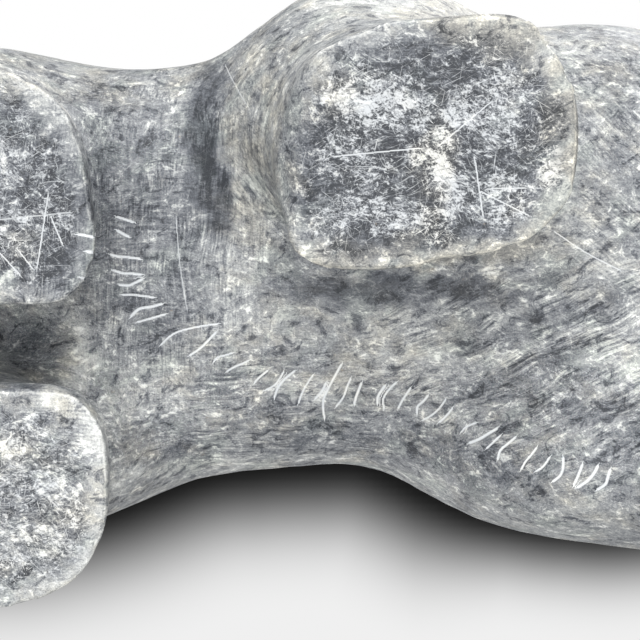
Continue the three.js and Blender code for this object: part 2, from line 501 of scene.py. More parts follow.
@dataclass(frozen=True)
class Plain:
    """A plain pale matt surface that is seen from its front alone and fades out with distance; with a
    painted shadow it glows with its colour instead, darker where its stored lit share is low.
    """

    name: str
    colour: Rgb
    clear_from: float
    clear_to: float
    painted_shadow: bool = False

    def build(self) -> bpy.types.Material:
        """Makes the material.

        Returns:
            The plain surface.
        """
        bench = Bench(self.name)
        length = bench.node("ShaderNodeVectorMath", {"operation": "LENGTH"}, {0: bench.place})
        far = Value(bench, length.outputs["Value"]).rise(self.clear_from, self.clear_to)
        back = Value(bench, bench.node("ShaderNodeNewGeometry").outputs["Backfacing"])
        # Painted shadow: the surface glows with its colour dimmed towards black by its stored lit share,
        # instead of taking light.
        if self.painted_shadow:
            colour = bench.mix(bench.mark("painted_lit_share"), (0.0, 0.0, 0.0), self.colour)
            matt = bench.node("ShaderNodeEmission", {}, {"Color": colour})
        else:
            matt = bench.node("ShaderNodeBsdfDiffuse", {}, {"Color": self.colour})
        clear = bench.node("ShaderNodeBsdfTransparent")
        shown = bench.node(
            "ShaderNodeMixShader", {}, {0: far.most(back), 1: matt.outputs[0], 2: clear.outputs[0]}
        )
        bench.node("ShaderNodeOutputMaterial", {}, {"Surface": shown.outputs[0]})
        return bench.material


# Marks left by the tools.


@dataclass(frozen=True)
class Stroke:
    """A scratch through a few places of the skin seen from below, in millimetres."""

    places: tuple[Place, ...]
    width: float = 0.22
    depth: float = 0.08
    white: float = 0.8

    def points(self) -> list[Place]:
        """Finds the stroke's places and those of a smooth line between them.

        Returns:
            The places, close together where the stroke is curved.
        """
        if len(self.places) == 2:
            return list(self.places)
        steps = 4
        ends = [self.places[0], *self.places, self.places[-1]]
        line: list[Place] = []
        for a, b, c, d in zip(ends, ends[1:], ends[2:], ends[3:]):
            for step in range(steps):
                line.append(tuple(smooth_between(*sides, step / steps) for sides in zip(a, b, c, d)))
        return [*line, self.places[-1]]


def smooth_between(a: float, b: float, c: float, d: float, t: float) -> float:
    """A number on the smooth curve through a, b, c and d, a share t of the way from b to c."""
    return b + 0.5 * t * (c - a + t * (2 * a - 5 * b + 4 * c - d + t * (3 * (b - c) + d - a)))


# The shares of its reach between which a patch fades.
FADE_FROM = 0.55
FADE_TO = 1.45


@dataclass(frozen=True)
class Patch:
    """A soft-edged patch of the skin seen from below, in millimetres."""

    at: Place
    reach: Place
    amount: float
    turn: float = 0.0

    def share(self, x: np.ndarray, y: np.ndarray) -> np.ndarray:
        """How strongly the patch shows at each point.

        Args:
            x: The points' places along the bear.
            y: The points' places across it.

        Returns:
            The patch's amount at its middle, falling to 0 outside.
        """
        cos, sin = math.cos(math.radians(self.turn)), math.sin(math.radians(self.turn))
        dx, dy = x - self.at[0], y - self.at[1]
        u = (cos * dx + sin * dy) / self.reach[0]
        w = (cos * dy - sin * dx) / self.reach[1]
        near = climb(np.hypot(u, w), FADE_TO, FADE_FROM)
        return self.amount * near * near * (3 - 2 * near)


def together(patches: Sequence[Patch], x: np.ndarray, y: np.ndarray) -> np.ndarray:
    """The patches' amounts at each point, added up."""
    return sum(patch.share(x, y) for patch in patches)


# Where the stone is lighter, or darker where the amount is less than 0. Most patches are the stone's own
# tone; those marked below are painted shadow and a painted glare.
TONE_AND_PAINTED_LIGHT_PATCHES = (
    Patch((-2.0, -22.0), (17.5, 12.5), -0.34),
    Patch((-0.4, -18.5), (2.0, 4.2), 0.12, -15),
    Patch((-0.9, -38.0), (5.0, 2.0), -0.12),
    # Painted shadow in the groove between the belly and the front leg.
    Patch((-34.8, -24.0), (2.6, 10.0), -0.6, 4),
    Patch((-32.6, -14.0), (2.6, 7.0), -0.6, -8),
    Patch((-42.0, 18.0), (4.0, 1.6), 0.24),
    Patch((-54.0, 11.0), (2.2, 6.0), 0.34),
    Patch((-38.0, 30.5), (10.0, 1.7), 0.34, 6),
    # Painted glare on the upper flank.
    Patch((-14.0, -45.5), (22.0, 5.0), 0.34),
    Patch((-60.0, -15.0), (12.0, 14.0), -0.1),
    Patch((20.0, 33.0), (9.0, 3.0), 0.1),
    Patch((-4.0, 26.5), (17.0, 4.5), -0.17),
    Patch((17.0, 23.0), (15.0, 9.0), -0.12),
    Patch((14.0, 13.5), (13.0, 1.8), -0.26, -27),
    Patch((24.0, 4.0), (11.0, 1.4), -0.22, -20),
    Patch((19.0, 8.5), (11.0, 1.2), 0.2, -25),
    Patch((-20.0, 25.0), (7.0, 2.5), -0.18),
    Patch((-25.5, -18.0), (4.0, 14.0), 0.2),
    Patch((-8.0, 13.0), (14.0, 6.0), 0.14, 10),
    # Painted shadow along the front foot's lower edge.
    Patch((-6.0, 0.8), (16.0, 2.3), -0.6),
    Patch((7.5, -0.2), (4.0, 1.8), -0.4),
    Patch((-45.0, -10.0), (10.0, 20.0), -0.32),
    Patch((-41.0, -6.0), (2.6, 3.6), 0.16),
    # Painted shadow between the hind feet.
    Patch((-60.0, 9.0), (7.0, 3.5), -0.3),
    Patch((-37.5, 27.5), (4.2, 2.4), -0.3),
    Patch((26.0, -24.0), (7.0, 14.0), 0.03, 10),
    Patch((24.0, 6.0), (10.0, 10.0), -0.08),
    Patch((-62.0, 25.0), (16.0, 15.0), 0.16),
)

# Where it is warmer or cooler.
WARMTHS = (
    Patch((-2.0, -22.0), (15.0, 11.0), -0.1),
    Patch((-1.0, -20.5), (3.0, 6.5), 0.34),
    Patch((16.5, -24.0), (3.4, 14.0), 0.3),
    Patch((0.0, -7.0), (18.0, 3.4), 0.32),
    Patch((8.0, -40.0), (12.0, 4.0), 0.32),
    Patch((-12.0, -28.0), (6.0, 4.0), 0.16),
    Patch((-26.0, -22.0), (6.0, 14.0), 0.12),
    Patch((-45.0, -10.0), (9.0, 22.0), -0.12),
    Patch((-62.0, 27.0), (14.0, 14.0), 0.06),
    Patch((-50.0, -34.0), (18.0, 6.0), 0.12),
    Patch((-8.0, 14.0), (12.0, 6.0), 0.08),
)

# Where the skin is smoother than round it.
CALMS = (
    Patch((-34.8, -24.0), (3.2, 11.0), 0.9, 4),
    Patch((-32.6, -13.0), (3.0, 8.0), 0.9, -8),
    Patch((-27.5, -24.0), (5.0, 14.0), 0.5),
    Patch((-6.0, 0.8), (17.0, 2.6), 0.7),
    Patch((-45.0, -14.0), (7.0, 14.0), 0.3),
)

# Where it is scuffed white.
SCUFFS = (
    Patch((-9.5, -29.0), (8.5, 3.4), 0.5, 8),
    Patch((0.2, -17.8), (2.0, 4.6), 0.6, -18),
    Patch((0.6, -25.4), (1.7, 5.0), 0.55, 18),
    Patch((-3.6, -23.2), (1.8, 3.6), 0.4, -40),
    Patch((6.5, -28.0), (5.0, 5.0), 0.32, -30),
    Patch((-13.0, -22.0), (4.0, 2.0), 0.4),
    Patch((-9.0, -13.6), (8.0, 2.6), 0.42),
    Patch((14.7, -20.0), (2.0, 2.4), 0.6),
    Patch((7.0, -15.5), (5.5, 3.2), 0.35),
    Patch((-60.0, -16.0), (10.0, 8.0), 0.2),
    Patch((-60.0, 27.0), (14.0, 12.0), 0.2),
    Patch((-8.0, 12.0), (16.0, 4.5), 0.12, 12),
    Patch((-40.0, 22.0), (5.0, 5.0), 0.12),
)

# Where each way of filing shows most, and how much it shows on all the skin.
HANDS = {
    Hand.ALONG: (Patch((-45.0, -8.0), (9.0, 24.0), 0.25), Patch((-20.0, 22.0), (24.0, 12.0), 0.8)),
    Hand.ACROSS: (Patch((-40.0, -12.0), (16.0, 28.0), 1.0),),
    Hand.SWEEP: (Patch((20.0, 12.0), (26.0, 16.0), 1.4),),
    Hand.SLANT: (Patch((28.0, -22.0), (9.0, 18.0), 0.9), Patch((-26.0, -22.0), (6.0, 14.0), 0.6)),
}
HAND_BASE = {Hand.ALONG: 0.5, Hand.ACROSS: 0.15, Hand.SWEEP: 0.35, Hand.SLANT: 0.25}

SCRATCHES = (
    Stroke(((-14.6, -21.6), (-3.3, -22.7))),
    Stroke(((6.2, -28.9), (-0.6, -23.1))),
    Stroke(((4.2, -21.0), (5.4, -13.5))),
    Stroke(((5.1, -16.8), (11.5, -13.6))),
    Stroke(((5.9, -17.2), (10.9, -17.3))),
    Stroke(((-53.7, -16.4), (-55.5, -6.4))),
    Stroke(((-60.3, -13.0), (-50.8, -14.0)), white=0.6),
    Stroke(((-53.5, -13.6), (-52.0, -9.8))),
    Stroke(((-60.5, -8.4), (-57.9, -5.4))),
    Stroke(((-58.0, -8.8), (-56.2, -6.4))),
    Stroke(((-38.8, -9.9), (-38.3, -3.0), (-37.3, 3.9)), white=0.5),
    Stroke(((-31.5, -33.2), (-29.8, -30.6), (-27.1, -26.9)), white=0.5),
    Stroke(((19.1, -8.2), (24.0, -5.0), (29.1, -2.4)), white=0.8),
)


@dataclass(frozen=True)
class MarkRow:
    """A row of short cut strokes along a line, each leaning a little, like tallies."""

    line: tuple[Place, ...]
    count: int
    tall: tuple[int, ...]
    seed: int
    height: float = 4.7
    tall_height: float = 9.4
    lean: float = 20.0
    lean_spread: float = 14.0
    stray: float = 0.3
    bow: float = 0.16
    heights: Place = (0.55, 1.15)
    widths: Place = (0.38, 0.52)
    depth: float = 0.16

    def strokes(self) -> list[Stroke]:
        """Places the row's strokes, from first to last.

        Returns:
            One stroke for each tally.
        """
        chance = random.Random(self.seed)
        line = Stroke(self.line).points()
        made = []
        for index in range(self.count):
            at = (index + 0.5 + chance.uniform(-self.stray, self.stray)) / self.count * (len(line) - 1)
            start, share = int(at), at - int(at)
            (ax, ay), (bx, by) = line[start], line[start + 1]
            reach = math.hypot(bx - ax, by - ay)
            ux, uy = (bx - ax) / reach, (by - ay) / reach
            x, y = ax + (bx - ax) * share, ay + (by - ay) * share
            height = self.tall_height
            if index not in self.tall:
                height = self.height * chance.uniform(*self.heights)
            lean = math.radians(self.lean + chance.uniform(-self.lean_spread, self.lean_spread))
            rise = (math.sin(lean) * ux + math.cos(lean) * uy, math.sin(lean) * uy - math.cos(lean) * ux)
            bow = chance.uniform(-self.bow, self.bow) * height
            asides = (0.0, bow, bow * chance.uniform(0.2, 1.0), 0.0)
            places = tuple(
                (x + rise[0] * height * t + ux * aside, y + rise[1] * height * t + uy * aside)
                for t, aside in zip((-0.5, -0.17, 0.17, 0.5), asides)
            )
            made.append(Stroke(places, chance.uniform(*self.widths), self.depth, white=1.0))
        return made


MARK_ROWS = (
    MarkRow(
        ((-47.6, -11.0), (-46.9, -4.0), (-45.2, 1.0), (-42.4, 6.0)),
        count=8,
        tall=(0,),
        seed=3,
        tall_height=4.4,
    ),
    MarkRow(
        (
            (-37.6, 7.4),
            (-29.2, 13.2),
            (-20.5, 16.6),
            (-12.5, 17.6),
            (-4.2, 18.2),
            (3.5, 21.0),
            (11.0, 24.0),
            (19.1, 26.4),
            (26.5, 27.6),
        ),
        count=28,
        tall=(0, 9),
        seed=8,
    ),
)


# The carving.


# How near to the floor, in millimetres, the block's soles and the finer skin's soles are.
SOLE_LEVEL = 0.02
SKIN_LEVEL = 0.3

# Where a sole rolls over into its slope instead of ending in an edge.
ROLLS = (Patch((-26.5, -23.5), (8.0, 14.5), 1.0),)
ROLL_LIFT = 2.4
ROLL_REACH = 8.0
ROLL_HEIGHT = 12.0
ROLL_TOP = 20.0


def open_for_editing(piece: bpy.types.Object) -> None:
    """Makes the piece the one selected and opens it for editing, with nothing of it selected.

    Args:
        piece: The piece.
    """
    bpy.ops.object.select_all(action="DESELECT")
    piece.select_set(True)
    bpy.context.view_layer.objects.active = piece
    bpy.ops.object.mode_set(mode="EDIT")
    bpy.ops.mesh.select_mode(type="FACE")
    bpy.ops.mesh.select_all(action="DESELECT")


def close_editing() -> None:
    """Closes the editing."""
    bpy.ops.object.mode_set(mode="OBJECT")


def read(items: bpy.types.bpy_prop_collection, name: str, width: int, kind: type = float) -> np.ndarray:
    """Reads what all points, edges or faces of a mesh hold under one name.

    Args:
        items: The points, edges or faces.
        name: What is read.
        width: How many numbers each of them holds.
        kind: What the numbers are read as.

    Returns:
        The numbers, with a row for each point, edge or face.
    """
    flat = np.empty(len(items) * width, np.float32 if kind is float else np.int32)
    items.foreach_get(name, flat)
    return flat.reshape(-1, width).astype(kind)


def read_points(mesh: bpy.types.Mesh) -> np.ndarray:
    """The mesh's points, in millimetres."""
    return read(mesh.vertices, "co", 3) / MM


def read_normals(mesh: bpy.types.Mesh) -> np.ndarray:
    """The direction that the skin faces at each of the mesh's points."""
    return read(mesh.vertex_normals, "vector", 3)


def read_middles(mesh: bpy.types.Mesh) -> np.ndarray:
    """The middles of the mesh's faces, in millimetres."""
    return read(mesh.polygons, "center", 3) / MM


def write_points(mesh: bpy.types.Mesh, points: np.ndarray) -> None:
    """Puts the mesh's points at new places, given in millimetres."""
    mesh.vertices.foreach_set("co", (points * MM).astype(np.float32).ravel())
    mesh.update()


def store(piece: bpy.types.Object, name: str, values: np.ndarray) -> None:
    """Stores a number at each point of the piece under a name."""
    mark = piece.data.attributes.new(name, "FLOAT", "POINT")
    mark.data.foreach_set("value", values.astype(np.float32))


def work_finer(piece: bpy.types.Object, chosen: np.ndarray) -> None:
    """Halves the size of some faces.

    Args:
        piece: The bear.
        chosen: True for each face to be halved.
    """
    open_for_editing(piece)
    close_editing()
    piece.data.polygons.foreach_set("select", chosen)
    bpy.ops.object.mode_set(mode="EDIT")
    bpy.ops.mesh.subdivide(number_cuts=1)
    close_editing()


def relax(piece: bpy.types.Object, rounds: int, share: np.ndarray) -> None:
    """Moves points towards the middle of their neighbours.

    Args:
        piece: The bear.
        rounds: How often.
        share: How far each point goes each time, from 0 to 1.
    """
    points = read_points(piece.data)
    a, b = read(piece.data.edges, "vertices", 2, int).T
    total = len(points)
    count = np.maximum(np.bincount(a, minlength=total) + np.bincount(b, minlength=total), 1)
    for _ in range(rounds):
        for axis in range(3):
            line = points[:, axis]
            around = np.bincount(a, line[b], total) + np.bincount(b, line[a], total)
            points[:, axis] += share * (around / count - line)
    write_points(piece.data, points)


def near_line(points: np.ndarray, a: np.ndarray, b: np.ndarray) -> tuple[np.ndarray, np.ndarray]:
    """Finds how far points are from a straight line between two places.

    Args:
        points: The points, one to a row.
        a: Where the line starts.
        b: Where it ends.

    Returns:
        The vector from the nearest place of the line to each point, and that vector's length.
    """
    along = b - a
    t = np.clip((points - a) @ along / max(along @ along, TINY), 0.0, 1.0)
    off = points - a - t[:, None] * along
    return off, np.linalg.norm(off, axis=1)


@dataclass
class Rim:
    """The closed outline of one sole, in millimetres."""

    places: np.ndarray

    @classmethod
    def from_corners(cls, corners: list[Vector], step: float = 0.8, rounds: int = 10) -> "Rim":
        """Makes a smooth rim through a sole's corners.

        Args:
            corners: The corners in order round the sole, in metres.
            step: How far apart the rim's places are.
            rounds: How often the rim is evened out.

        Returns:
            The rim.
        """
        ring = np.array([(c.x / MM, c.y / MM) for c in corners])
        ring = np.vstack([ring, ring[:1]])
        gone = np.concatenate([[0.0], np.cumsum(np.linalg.norm(np.diff(ring, axis=0), axis=1))])
        wanted = np.linspace(0.0, gone[-1], int(gone[-1] / step), endpoint=False)
        even = np.stack([np.interp(wanted, gone, ring[:, axis]) for axis in (0, 1)], axis=1)
        for _ in range(rounds):
            even = (np.roll(even, 1, 0) + 2 * even + np.roll(even, -1, 0)) / 4
        return cls(even)

    def reach(self, points: np.ndarray) -> tuple[np.ndarray, np.ndarray]:
        """Finds how far points are outside the rim.

        Args:
            points: The points, as x and y.

        Returns:
            The distance, less than 0 inside, and the way out of the rim at each point.
        """
        best = np.full(len(points), np.inf)
        out = np.zeros((len(points), 2))
        inside = np.zeros(len(points), bool)
        x, y = points[:, 0], points[:, 1]
        for a, b in zip(self.places, np.roll(self.places, -1, 0)):
            off, far = near_line(points, a, b)
            nearer = far < best
            best[nearer] = far[nearer]
            out[nearer] = off[nearer] / np.maximum(far[nearer], TINY)[:, None]
            crossed = (a[1] > y) != (b[1] > y)
            if crossed.any():
                at = a[0] + (y - a[1]) / (b[1] - a[1] or TINY) * (b[0] - a[0])
                inside ^= crossed & (x < at)
        sign = np.where(inside, -1.0, 1.0)
        return best * sign, out * sign[:, None]


@dataclass
class Head:
    """The head with its ears, eyes, nostrils and mouth, in millimetres.

    The eyes and the hollows of the ears are placed from the nape, in a frame that turns left and nods.
    """

    nape: Spot = (73.2, 7.1, 69.0)
    turn: float = 8.0
    nod: float = 15.0
    eyes: tuple[Spot, ...] = ((24.5, 11.6, 4.6), (25.9, -14.4, 5.1))
    eye_radius: float = 2.3
    ring_depth: float = 0.35
    ring_width: float = 1.1
    ear_hollows: tuple[Spot, ...] = ((5.4, 15.1, 19.9), (5.4, -15.1, 19.9))
    hollow_reach: float = 5.0
    starts_at: float = 60.0
    face_from: float = 68.0
    chin_height: float = 36.0
    chin_blend: float = 6.0
    even_rounds: int = 6
    detail_angle: float = 34.0
    detail_reach: float = 2.4
    recess_depths: Place = (0.15, 0.65)

    def in_bear(self, place: Spot) -> np.ndarray:
        """Turns a place of the head's frame into one of the bear's.

        Args:
            place: The place in the head's frame.

        Returns:
            The same place in the bear's frame.
        """
        turn = Matrix.Rotation(math.radians(self.turn), 3, "Z")
        nod = Matrix.Rotation(math.radians(self.nod), 3, "Y")
        return np.array(Vector(self.nape) + turn @ nod @ Vector(place))

    def find_details(self, piece: bpy.types.Object) -> tuple[BVHTree, KDTree]:
        """Finds the carved details of the head, which are the block's keen edges there.

        Args:
            piece: The merged block.

        Returns:
            The block's surface, and the middles of the keen edges in millimetres.
        """
        shape = bmesh.new()
        shape.from_mesh(piece.data)
        block = BVHTree.FromBMesh(shape)
        sharp = math.radians(self.detail_angle)
        places = [
            (edge.verts[0].co + edge.verts[1].co) / 2 / MM
            for edge in shape.edges
            if len(edge.link_faces) == 2 and edge.calc_face_angle(0.0) > sharp
        ]
        shape.free()
        places = [p for p in places if p.x > self.face_from and p.z > self.chin_height]
        details = KDTree(len(places))
        for index, place in enumerate(places):
            details.insert(place, index)
        details.balance()
        log.info("%d keen edges on the head", len(places))
        return block, details

    def carve(self, piece: bpy.types.Object, block: BVHTree, details: KDTree) -> None:
        """Works the head finer and gives it the block's ears, eyes, nostrils and mouth, with dark eyes,
        dirt in the cuts and a painted shadow in the ear hollows.

        Args:
            piece: The bear.
            block: The CAD solid's surface.
            details: The places of the head's carved details.
        """
        self.lay_on_block(piece, block)
        middles = read_middles(piece.data)
        near = [m[0] > self.starts_at and details.find(m)[2] < self.detail_reach for m in middles]
        work_finer(piece, np.array(near))
        normals = read_normals(piece.data)
        cut = self.cut_details(piece, normals, block, details)
        dark_eyes_dirt_and_painted_shade = self.set_eyes(piece, normals, climb(-cut, *self.recess_depths))
        points = read_points(piece.data)
        # Painted shadow in the ear hollows.
        for hollow in self.ear_hollows:
            far = np.linalg.norm(points - self.in_bear(hollow), axis=1)
            dark_eyes_dirt_and_painted_shade = np.maximum(dark_eyes_dirt_and_painted_shade, 0.6 * climb(far, self.hollow_reach, self.hollow_reach - 2.0))
        store(piece, "dark_eyes_dirt_and_painted_shade", dark_eyes_dirt_and_painted_shade)

    def lay_on_block(self, piece: bpy.types.Object, block: BVHTree) -> None:
        """Halves the head's faces and lays them on the CAD solid's surface.

        Args:
            piece: The bear.
            block: The CAD solid's surface.
        """
        middles = read_middles(piece.data)
        work_finer(piece, (middles[:, 0] > self.starts_at) & (middles[:, 2] > self.chin_height))
        points = read_points(piece.data)
        share = climb(points[:, 0], self.starts_at + 2.0, self.face_from + 2.0)
        share *= climb(points[:, 2], self.chin_height, self.chin_height + self.chin_blend)
        for index in np.flatnonzero(share > 0):
            found = block.find_nearest(Vector(points[index]) * MM)[0]
            points[index] += share[index] * (np.array(found) / MM - points[index])
        write_points(piece.data, points)
        relax(piece, self.even_rounds, 0.5 * share)

    def cut_details(
        self, piece: bpy.types.Object, normals: np.ndarray, block: BVHTree, details: KDTree
    ) -> np.ndarray:
        """Moves the skin near the carved details straight in or out to the CAD solid's surface.

        Args:
            piece: The bear.
            normals: The direction that the skin faces at each point.
            block: The CAD solid's surface.
            details: The places of the head's carved details.

        Returns:
            How far each point goes out, less than 0 where it goes in.
        """
        points = read_points(piece.data)
        head = np.flatnonzero(points[:, 0] > self.starts_at)
        far = np.array([details.find(place)[2] for place in points[head]])
        share = climb(far, self.detail_reach + 0.2, self.detail_reach - 0.8)
        outside, inside = 3.0, 2.5
        cut = np.zeros(len(points))
        for index, part in zip(head[share > 0], share[share > 0]):
            start, way = Vector(points[index]), Vector(normals[index])
            hit = block.ray_cast((start + way * outside) * MM, -way, (outside + inside) * MM)
            if hit[0] is not None:
                cut[index] = part * (outside - hit[3] / MM)
        write_points(piece.data, points + normals * cut[:, None])
        relax(piece, 1, np.where(np.abs(cut) > 0.02, 0.3, 0.0))
        return cut

    def set_eyes(self, piece: bpy.types.Object, normals: np.ndarray, dark_eyes_dirt_and_painted_shade: np.ndarray) -> np.ndarray:
        """Rounds the eyes to beads, cuts a ring round each and darkens both.

        Args:
            piece: The bear.
            normals: The direction that the skin faces at each point.
            dark_eyes_dirt_and_painted_shade: How deep each point lies in a carved detail, from 0 to 1.

        Returns:
            The same, with the eyes and their rings.
        """
        points = read_points(piece.data)
        half = self.ring_width / 2
        edge = self.eye_radius + self.ring_width
        for eye in self.eyes:
            off = points - self.in_bear(eye)
            far = np.linalg.norm(off, axis=1)
            bead = far < self.eye_radius
            points[bead] += off[bead] * (self.eye_radius / far[bead] - 1.0)[:, None]
            ring = climb(np.abs(far - self.eye_radius - half), half, 0.0)
            points -= normals * (ring * self.ring_depth)[:, None]
            dark_eyes_dirt_and_painted_shade = np.maximum(dark_eyes_dirt_and_painted_shade, climb(far, edge, edge - 0.5))
        write_points(piece.data, points)
        return dark_eyes_dirt_and_painted_shade


@dataclass
class Carving:
    """The whole bear, worked finer than its CAD solid, in millimetres."""

    merge_reach: float = 0.004
    quad_angle: float = 40.0
    skin_step: float = 1.7
    crease_angle: float = 38.0
    even_rounds: int = 5
    roll_rounds: int = 160
    rim_rounding: float = 0.5
    wall_draft: float = 0.16
    wall_height: float = 4.0
    wall_reach: float = 2.6
    fewest_corners: int = 12
    dent_depth: float = 0.3
    dent_size: float = 7.0
    deepest_dent: float = 1.2
    groove_reach: float = 1.15
    groove_fill: float = 0.9
    seen_from: float = -78.0
    seen_to: float = 34.0
    seen_height: float = 62.0
    seen_slope: float = 0.12
    wobble_size: float = 3.0
    wobble_reach: float = 1.6
    head: Head = field(default_factory=Head)
    finish: Soapstone = field(default_factory=Soapstone)

    def build(self) -> bpy.types.Object:
        """Makes the bear and declares what it stands for.

        Returns:
            The finished bear.
        """
        piece = self.copy_block()
        rims = self.find_rims(piece)
        block, details = self.head.find_details(piece)
        self.smooth_block(piece)
        work_finer(piece, self.photographed(piece))
        self.even_out(piece)
        self.true_rims(piece, rims)
        self.roll_over(piece)
        self.dent(piece)
        self.head.carve(piece, block, details)
        strokes = self.lay_strokes(piece)
        self.cut_strokes(piece, strokes)
        self.write_marks(piece, rims, strokes)
        self.keep_in_box(piece)
        self.dress(piece)
        return piece

    def copy_block(self) -> bpy.types.Object:
        """Copies the CAD solid and merges its loose triangles.

        Returns:
            The copy, made of four-sided faces where it can be.
        """
        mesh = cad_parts["bear"].data.copy()
        mesh.name = "bear_stone"
        piece = bpy.data.objects.new("bear_stone", mesh)
        bpy.context.scene.collection.objects.link(piece)
        open_for_editing(piece)
        bpy.ops.mesh.select_all(action="SELECT")
        bpy.ops.mesh.remove_doubles(threshold=self.merge_reach * MM)
        angle = math.radians(self.quad_angle)
        bpy.ops.mesh.tris_convert_to_quads(face_threshold=angle, shape_threshold=angle)
        bpy.ops.mesh.normals_make_consistent(inside=False)
        close_editing()
        return piece

    def find_rims(self, piece: bpy.types.Object) -> list[Rim]:
        """Finds the outlines of the four flat soles.

        Args:
            piece: The merged block.

        Returns:
            A rim for each sole.
        """
        shape = bmesh.new()
        shape.from_mesh(piece.data)
        level = SOLE_LEVEL * MM
        flat = {f for f in shape.faces if f.normal.z < -0.99 and f.calc_center_median().z < level}
        border = dict.fromkeys(e for e in shape.edges if sum(f in flat for f in e.link_faces) == 1)
        rims = []
        while border:
            start, here = border.popitem()[0].verts
            ring = [start.co.copy()]
            while here is not start:
                ring.append(here.co.copy())
                onward = next((e for e in here.link_edges if e in border), None)
                if onward is None:
                    break
                del border[onward]
                here = onward.other_vert(here)
            if len(ring) > self.fewest_corners:
                rims.append(Rim.from_corners(ring))
        shape.free()
        log.info("%d soles found", len(rims))
        return rims

    def smooth_block(self, piece: bpy.types.Object) -> None:
        """Rounds the block's facets, keeps its sawn edges and covers it with an even skin.

        Args:
            piece: The merged block.
        """
        open_for_editing(piece)
        bpy.ops.mesh.select_mode(type="EDGE")
        bpy.ops.mesh.select_all(action="DESELECT")
        close_editing()
        shape = bmesh.new()
        shape.from_mesh(piece.data)
        sharp = math.radians(self.crease_angle)
        for edge in shape.edges:
            low = all(v.co.z < SOLE_LEVEL * MM for v in edge.verts)
            edge.select = low and len(edge.link_faces) == 2 and edge.calc_face_angle(0.0) > sharp
        shape.to_mesh(piece.data)
        shape.free()
        bpy.ops.object.mode_set(mode="EDIT")
        bpy.ops.transform.edge_crease(value=1.0)
        close_editing()
        finer = piece.modifiers.new("finer", "SUBSURF")
        finer.levels = finer.render_levels = 2
        skin = piece.modifiers.new("skin", "REMESH")
        skin.mode = "VOXEL"
        skin.voxel_size = self.skin_step * MM
        for name in ("finer", "skin"):
            bpy.ops.object.modifier_apply(modifier=name)

    def photographed(self, piece: bpy.types.Object) -> np.ndarray:
        """Picks the faces that the photograph shows.

        Args:
            piece: The bear.

        Returns:
            True for each face on the underside, from the hind feet to the chest.
        """
        middles = read_middles(piece.data)
        along = (middles[:, 0] > self.seen_from) & (middles[:, 0] < self.seen_to)
        below = read(piece.data.polygons, "normal", 3)[:, 2] < self.seen_slope
        return along & below & (middles[:, 2] < self.seen_height)

    def even_out(self, piece: bpy.types.Object) -> None:
        """Evens the skin out without sinking the soles."""
        high = read_points(piece.data)[:, 2] > SKIN_LEVEL + 0.05
        relax(piece, self.even_rounds, np.where(high, 0.5, 0.0))

    def roll_over(self, piece: bpy.types.Object) -> None:
        """Rolls a sole's edge over into its slope where it has no edge.

        Args:
            piece: The bear.
        """
        points = read_points(piece.data)
        share = together(ROLLS, points[:, 0], points[:, 1])
        start = ROLLS[0].at[0] + 1.3 * ROLL_REACH
        lift = ROLL_LIFT * climb(points[:, 0], start, start - ROLL_REACH) ** 2
        points[:, 2] += lift * share * climb(points[:, 2], ROLL_HEIGHT, 0.0)
        write_points(piece.data, points)
        relax(piece, self.roll_rounds, np.where(points[:, 2] < ROLL_TOP, 0.6 * share, 0.0))

    def true_rims(self, piece: bpy.types.Object, rims: list[Rim]) -> None:
        """Gives each sole a flat face, a clean outline and a slightly rounded edge.

        Args:
            piece: The bear.
            rims: The outlines.
        """
        points = read_points(piece.data)
        radius = self.rim_rounding
        centre = np.array([-radius * (math.hypot(1, self.wall_draft) + self.wall_draft), radius])
        low = np.flatnonzero(points[:, 2] < self.wall_height)
        for rim in rims:
            far, out = rim.reach(points[low, :2])
            close = far < self.wall_reach
            index = low[close]
            s, way, z = far[close], out[close], points[index, 2].copy()
            from_centre = np.stack([s, z], axis=1) - centre
            reach = np.maximum(np.linalg.norm(from_centre, axis=1), TINY)[:, None]
            rounded = centre + from_centre / reach * radius
            on_sole = (s <= centre[0]) & (z < 0.8)
            on_corner = (s > centre[0]) & (z < centre[1])
            wall = -self.wall_draft * z
            hold = climb(z, self.wall_height - 0.4, self.wall_height - 2.4)
            new_s = np.where(on_sole, s, np.where(on_corner, rounded[:, 0], s + (wall - s) * hold))
            new_z = np.where(on_sole, 0.0, np.where(on_corner, rounded[:, 1], z))
            points[index, :2] += way * (new_s - s)[:, None]
            points[index, 2] = new_z
        write_points(piece.data, points)

    def dent(self, piece: bpy.types.Object) -> None:
        """Gives the skin the shallow hollows that a rasp leaves, and the soles far less.

        Args:
            piece: The bear.
        """
        points = read_points(piece.data)
        normals = read_normals(piece.data)
        depth = np.empty(len(points))
        for index, (x, y, z) in enumerate(points):
            wide = noise.noise(Vector((x, y, z)) / self.dent_size)
            finer = Vector((x, y * 1.4, z * 1.4)) / (self.dent_size * 0.34)
            depth[index] = 0.5 + 0.5 * wide + 0.22 * noise.noise(finer + Vector((9, 4, 2)))
        off_sole = climb(points[:, 2], SKIN_LEVEL, SKIN_LEVEL + 2.5)
        sink = np.clip(depth, 0.0, self.deepest_dent) * self.dent_depth * off_sole
        write_points(piece.data, points - normals * sink[:, None])

    def lay_strokes(self, piece: bpy.types.Object) -> list[tuple[Stroke, np.ndarray]]:
        """Lays the scratches and the rows of marks on the skin.

        Args:
            piece: The bear.

        Returns:
            Each stroke with its line on the skin.
        """
        shape = bmesh.new()
        shape.from_mesh(piece.data)
        skin = BVHTree.FromBMesh(shape)
        laid = []
        for stroke in (*SCRATCHES, *(s for row in MARK_ROWS for s in row.strokes())):
            line = []
            for x, y in stroke.points():
                hit = skin.ray_cast(Vector((x, y, -20.0)) * MM, Vector((0, 0, 1)))[0]
                if hit is not None:
                    line.append(hit / MM)
            if len(line) > 1:
                laid.append((stroke, np.array(line)))
        shape.free()
        return laid

